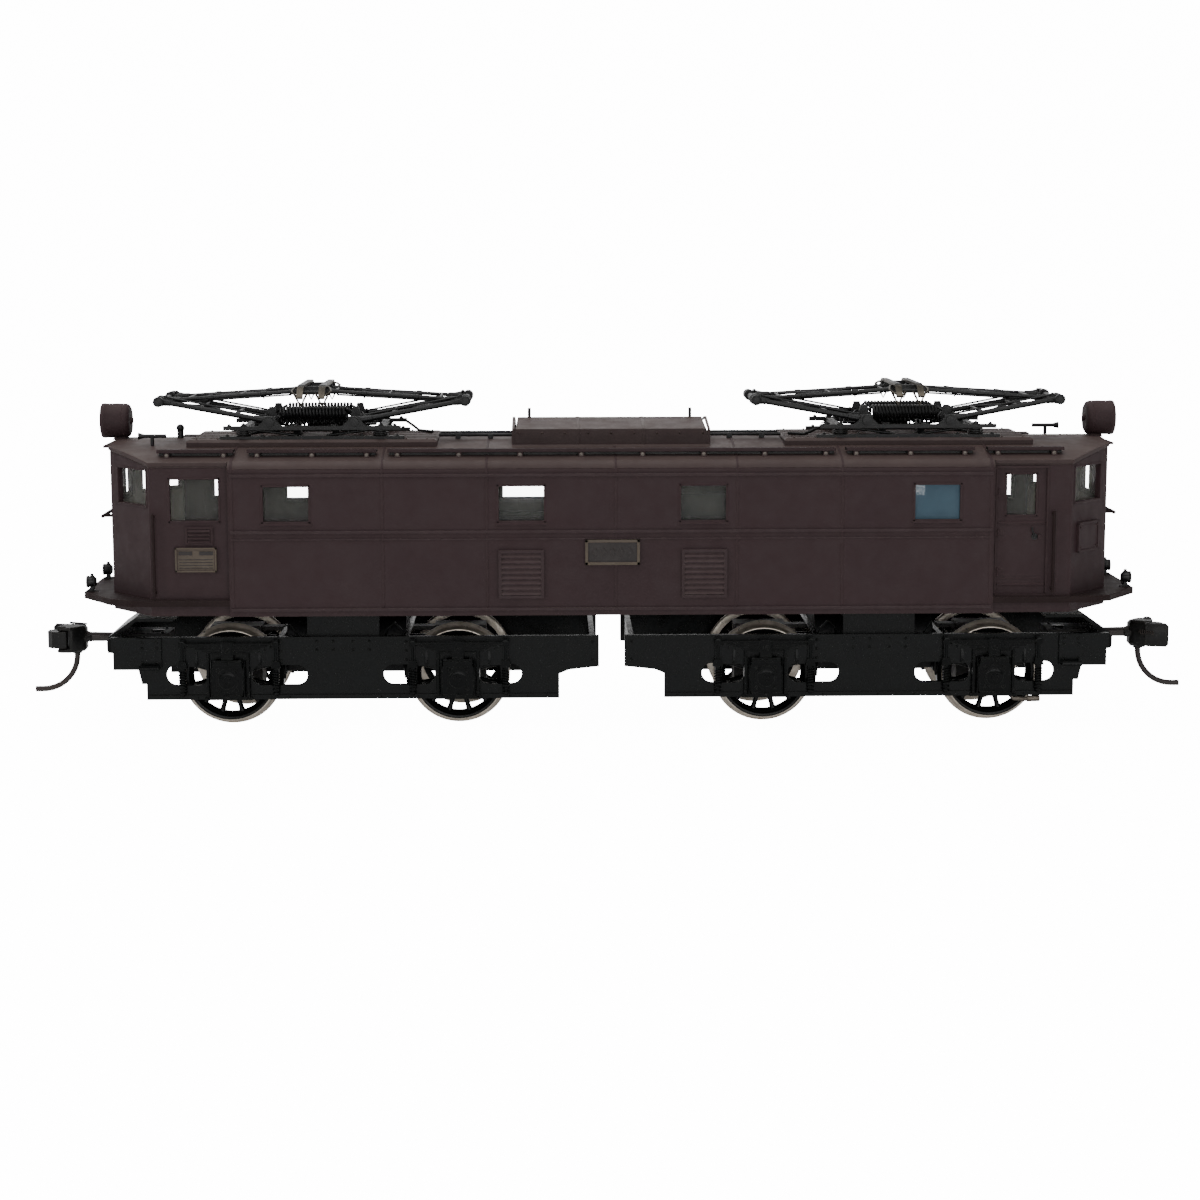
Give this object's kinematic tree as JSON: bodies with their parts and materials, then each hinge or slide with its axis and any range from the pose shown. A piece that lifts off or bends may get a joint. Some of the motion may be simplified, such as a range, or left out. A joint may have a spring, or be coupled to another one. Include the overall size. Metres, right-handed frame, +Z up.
{
  "type": "model electric locomotive",
  "caption": "Small-scale model box-cab electric locomotive with faceted cabs, arched roof, folded diamond pantographs, motor bogies with spoked wheels and knuckle couplers.",
  "frame": {"origin": "middle of the length and width, at the bottom of the wheel flanges", "axes": "+X along the locomotive towards its front end, +Y across it, +Z up"},
  "size_m": [0.181, 0.0354, 0.0522],
  "materials": {
    "body_paint": "matt dark brown",
    "plate_paint": "matt brown, worn border",
    "black_paint": "satin black",
    "bogie_paint": "gloss black",
    "underframe_paint": "satin black",
    "clear_glazing": "clear sheet",
    "blue_film": "teal blue film",
    "lens": "clear lens",
    "steel": "turned steel",
    "brass": "bare brass",
    "ballast_metal": "cast",
    "insulator": "gloss black",
    "wheel_metal": "nickel-silver tyres on black centres",
    "shoe_metal": "bare metal",
    "black_plastic": "matt black"
  },
  "bodies": {
    "superstructure": {"body_shell": "body_paint", "roof": "body_paint", "beading": "body_paint", "louvres": "body_paint", "plates": "plate_paint", "cab_doors": "body_paint", "handrails": "body_paint", "front_visors": "body_paint", "glazing": "clear_glazing", "blue_pane": "blue_film", "headlights": "body_paint", "headlight_lenses": "lens", "roof_monitor": "body_paint", "walkways": "black_paint", "panto_boards": "body_paint", "roof_fittings": "black_paint", "end_decks": "body_paint", "marker_lamps": "black_paint", "floor_plate": "underframe_paint", "kingpins": "steel", "ballast": "ballast_metal", "panto_bases": "black_paint", "panto_insulators": "insulator"},
    "bogie_front": {"bogie_front_side_frames": "bogie_paint", "bogie_front_running_gear": "bogie_paint", "bogie_front_transoms": "bogie_paint", "bogie_front_gearcases": "brass", "bogie_front_motor": "steel", "bogie_front_coupler_box": "black_plastic"},
    "rotor_front": {"rotor_front": "steel"},
    "wheelset_1": {"axle_1": "brass", "wheels_1": "wheel_metal"},
    "wheelset_2": {"axle_2": "brass", "wheels_2": "wheel_metal"},
    "coupler_front": {"coupler_front": "black_plastic"},
    "knuckle_front": {"knuckle_front": "black_plastic"},
    "panto_front_lower_outer": {"panto_front_lower_outer": "black_paint"},
    "panto_front_upper_outer": {"panto_front_upper_outer": "black_paint"},
    "panto_front_lower_inner": {"panto_front_lower_inner": "black_paint"},
    "panto_front_upper_inner": {"panto_front_upper_inner": "black_paint"},
    "panto_front_head": {"panto_front_head": "shoe_metal"},
    "bogie_rear": {"bogie_rear_side_frames": "bogie_paint", "bogie_rear_running_gear": "bogie_paint", "bogie_rear_transoms": "bogie_paint", "bogie_rear_gearcases": "brass", "bogie_rear_motor": "steel", "bogie_rear_coupler_box": "black_plastic"},
    "rotor_rear": {"rotor_rear": "steel"},
    "wheelset_4": {"axle_4": "brass", "wheels_4": "wheel_metal"},
    "wheelset_3": {"axle_3": "brass", "wheels_3": "wheel_metal"},
    "coupler_rear": {"coupler_rear": "black_plastic"},
    "knuckle_rear": {"knuckle_rear": "black_plastic"},
    "panto_rear_lower_outer": {"panto_rear_lower_outer": "black_paint"},
    "panto_rear_upper_outer": {"panto_rear_upper_outer": "black_paint"},
    "panto_rear_lower_inner": {"panto_rear_lower_inner": "black_paint"},
    "panto_rear_upper_inner": {"panto_rear_upper_inner": "black_paint"},
    "panto_rear_head": {"panto_rear_head": "shoe_metal"}
  },
  "joints": [
    {"name": "bogie_front_swivel", "type": "hinge", "parent": "superstructure", "child": "bogie_front", "pos_m": [0.041, 0, 0.0171], "axis": [0, 0, 1], "range_deg": [-6, 6]},
    {"name": "motor_front_spin", "type": "hinge", "parent": "bogie_front", "child": "rotor_front", "pos_m": [0.041, 0, 0.01185], "axis": [1, 0, 0], "continuous": true},
    {"name": "wheelset_1_spin", "type": "hinge", "parent": "bogie_front", "child": "wheelset_1", "pos_m": [0.0585, 0, 0.00785], "axis": [0, 1, 0], "continuous": true},
    {"name": "wheelset_2_spin", "type": "hinge", "parent": "bogie_front", "child": "wheelset_2", "pos_m": [0.0235, 0, 0.00785], "axis": [0, 1, 0], "continuous": true},
    {"name": "coupler_front_swing", "type": "hinge", "parent": "bogie_front", "child": "coupler_front", "pos_m": [0.071, 0, 0.01225], "axis": [0, 0, 1], "range_deg": [-12, 12]},
    {"name": "knuckle_front_open", "type": "hinge", "parent": "coupler_front", "child": "knuckle_front", "pos_m": [0.0857, 0.002, 0.01225], "axis": [0, 0, 1], "range_deg": [0, 20], "stiffness_Nm_per_rad": 0.00002},
    {"name": "panto_front_lower_outer", "type": "hinge", "parent": "superstructure", "child": "panto_front_lower_outer", "pos_m": [0.0519, 0, 0.0466], "axis": [0, -1, 0], "range_deg": [0, 40]},
    {"name": "panto_front_upper_outer", "type": "hinge", "parent": "panto_front_lower_outer", "child": "panto_front_upper_outer", "pos_m": [0.0688, 0, 0.0497], "axis": [0, 1, 0], "range_deg": [0, 80.1]},
    {"name": "panto_front_lower_inner", "type": "hinge", "parent": "superstructure", "child": "panto_front_lower_inner", "pos_m": [0.0391, 0, 0.0466], "axis": [0, 1, 0], "range_deg": [0, 40]},
    {"name": "panto_front_upper_inner", "type": "hinge", "parent": "panto_front_lower_inner", "child": "panto_front_upper_inner", "pos_m": [0.0222, 0, 0.0497], "axis": [0, -1, 0], "range_deg": [0, 80.1]},
    {"name": "panto_front_head_level", "type": "hinge", "parent": "panto_front_upper_outer", "child": "panto_front_head", "pos_m": [0.04715, 0, 0.0511], "axis": [0, -1, 0], "range_deg": [0, 40.1]},
    {"name": "bogie_rear_swivel", "type": "hinge", "parent": "superstructure", "child": "bogie_rear", "pos_m": [-0.041, 0, 0.0171], "axis": [0, 0, 1], "range_deg": [-6, 6]},
    {"name": "motor_rear_spin", "type": "hinge", "parent": "bogie_rear", "child": "rotor_rear", "pos_m": [-0.041, 0, 0.01185], "axis": [-1, 0, 0], "continuous": true},
    {"name": "wheelset_4_spin", "type": "hinge", "parent": "bogie_rear", "child": "wheelset_4", "pos_m": [-0.0585, 0, 0.00785], "axis": [0, -1, 0], "continuous": true},
    {"name": "wheelset_3_spin", "type": "hinge", "parent": "bogie_rear", "child": "wheelset_3", "pos_m": [-0.0235, 0, 0.00785], "axis": [0, -1, 0], "continuous": true},
    {"name": "coupler_rear_swing", "type": "hinge", "parent": "bogie_rear", "child": "coupler_rear", "pos_m": [-0.071, 0, 0.01225], "axis": [0, 0, 1], "range_deg": [-12, 12]},
    {"name": "knuckle_rear_open", "type": "hinge", "parent": "coupler_rear", "child": "knuckle_rear", "pos_m": [-0.0857, -0.002, 0.01225], "axis": [0, 0, 1], "range_deg": [0, 20], "stiffness_Nm_per_rad": 0.00002},
    {"name": "panto_rear_lower_outer", "type": "hinge", "parent": "superstructure", "child": "panto_rear_lower_outer", "pos_m": [-0.0519, 0, 0.0466], "axis": [0, 1, 0], "range_deg": [0, 40]},
    {"name": "panto_rear_upper_outer", "type": "hinge", "parent": "panto_rear_lower_outer", "child": "panto_rear_upper_outer", "pos_m": [-0.0688, 0, 0.0497], "axis": [0, -1, 0], "range_deg": [0, 80.1]},
    {"name": "panto_rear_lower_inner", "type": "hinge", "parent": "superstructure", "child": "panto_rear_lower_inner", "pos_m": [-0.0391, 0, 0.0466], "axis": [0, -1, 0], "range_deg": [0, 40]},
    {"name": "panto_rear_upper_inner", "type": "hinge", "parent": "panto_rear_lower_inner", "child": "panto_rear_upper_inner", "pos_m": [-0.0222, 0, 0.0497], "axis": [0, 1, 0], "range_deg": [0, 80.1]},
    {"name": "panto_rear_head_level", "type": "hinge", "parent": "panto_rear_upper_outer", "child": "panto_rear_head", "pos_m": [-0.04715, 0, 0.0511], "axis": [0, 1, 0], "range_deg": [0, 40.1]}
  ],
  "couplings": [
    {"joint": "wheelset_1_spin", "follows": "motor_front_spin", "ratio": -0.083333},
    {"joint": "wheelset_2_spin", "follows": "motor_front_spin", "ratio": -0.083333},
    {"joint": "panto_front_upper_outer", "follows": "panto_front_lower_outer", "ratio": 1.9982},
    {"joint": "panto_front_lower_inner", "follows": "panto_front_lower_outer", "ratio": 1},
    {"joint": "panto_front_upper_inner", "follows": "panto_front_lower_outer", "ratio": 1.9982},
    {"joint": "panto_front_head_level", "follows": "panto_front_lower_outer", "ratio": 0.9982},
    {"joint": "wheelset_4_spin", "follows": "motor_rear_spin", "ratio": -0.083333},
    {"joint": "wheelset_3_spin", "follows": "motor_rear_spin", "ratio": -0.083333},
    {"joint": "panto_rear_upper_outer", "follows": "panto_rear_lower_outer", "ratio": 1.9982},
    {"joint": "panto_rear_lower_inner", "follows": "panto_rear_lower_outer", "ratio": 1},
    {"joint": "panto_rear_upper_inner", "follows": "panto_rear_lower_outer", "ratio": 1.9982},
    {"joint": "panto_rear_head_level", "follows": "panto_rear_lower_outer", "ratio": 0.9982}
  ]
}
